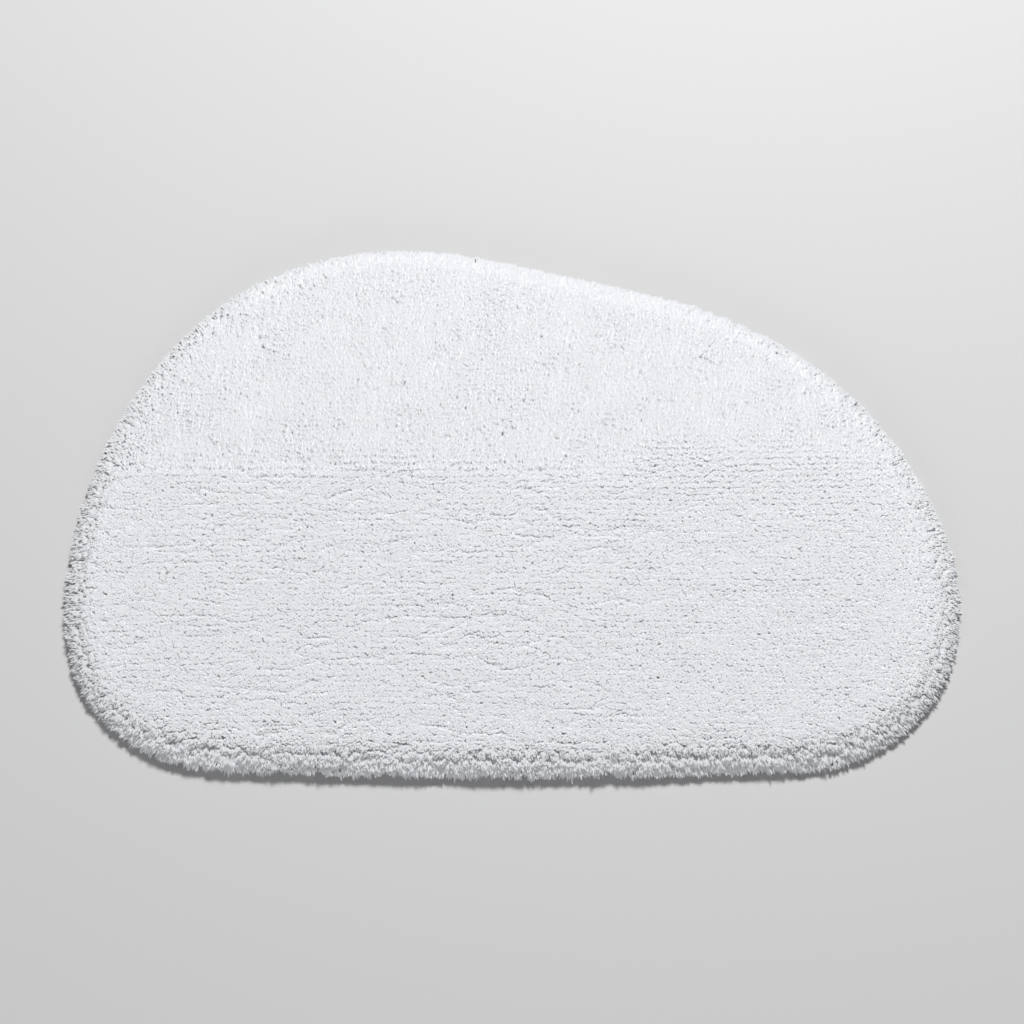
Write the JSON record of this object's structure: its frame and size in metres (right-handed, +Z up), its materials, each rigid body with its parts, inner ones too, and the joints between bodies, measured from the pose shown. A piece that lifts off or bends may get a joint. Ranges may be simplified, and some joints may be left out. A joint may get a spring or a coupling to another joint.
{
  "type": "bath mat",
  "caption": "Thick cut-pile cotton bath mat with a soft asymmetric pebble outline, a bound hem and a non-slip latex underside.",
  "frame": {"origin": "on the floor, under the middle of the mat's bounding box", "axes": "+Z up; +X along the mat's length and along the rows of tufts; -Y towards the straight front edge"},
  "size_m": [0.8002, 0.5092, 0.024],
  "materials": {
    "pile": "matt white cut-pile cotton, slightly cool, untwisted tips",
    "backing": "off-white plain-weave backing cloth",
    "tape": "white herringbone cotton tape",
    "thread": "white polyester sewing thread, slight sheen",
    "label": "blank white satin-weave label",
    "latex": "cream natural latex coat, satin, slightly pebbled"
  },
  "bodies": {
    "root": {"latex_coat": "latex", "backing_cloth": "backing", "hem_tape": "tape", "hem_thread_upper": "thread", "hem_thread_lower": "thread", "care_label": "label", "pile_rows_01": "pile", "pile_rows_02": "pile", "pile_rows_03": "pile", "pile_rows_04": "pile", "pile_rows_05": "pile", "pile_rows_06": "pile", "pile_rows_07": "pile", "pile_rows_08": "pile", "pile_rows_09": "pile", "pile_rows_10": "pile", "pile_rows_11": "pile", "pile_rows_12": "pile", "pile_rows_13": "pile", "pile_rows_14": "pile", "pile_rows_15": "pile", "pile_rows_16": "pile", "pile_rows_17": "pile", "pile_rows_18": "pile", "pile_rows_19": "pile", "pile_rows_20": "pile", "pile_rows_21": "pile", "pile_rows_22": "pile", "pile_rows_23": "pile", "pile_rows_24": "pile", "pile_rows_25": "pile", "pile_rows_26": "pile", "pile_rows_27": "pile", "pile_rows_28": "pile", "pile_rows_29": "pile", "pile_rows_30": "pile", "pile_rows_31": "pile", "pile_rows_32": "pile", "pile_rows_33": "pile", "pile_rows_34": "pile", "pile_rows_35": "pile", "pile_rows_36": "pile", "pile_rows_37": "pile", "pile_rows_38": "pile", "pile_rows_39": "pile", "pile_rows_40": "pile", "pile_rows_41": "pile", "pile_rows_42": "pile", "pile_rows_43": "pile", "pile_rows_44": "pile", "pile_rows_45": "pile", "pile_rows_46": "pile", "pile_rows_47": "pile", "pile_rows_48": "pile"}
  },
  "joints": []
}
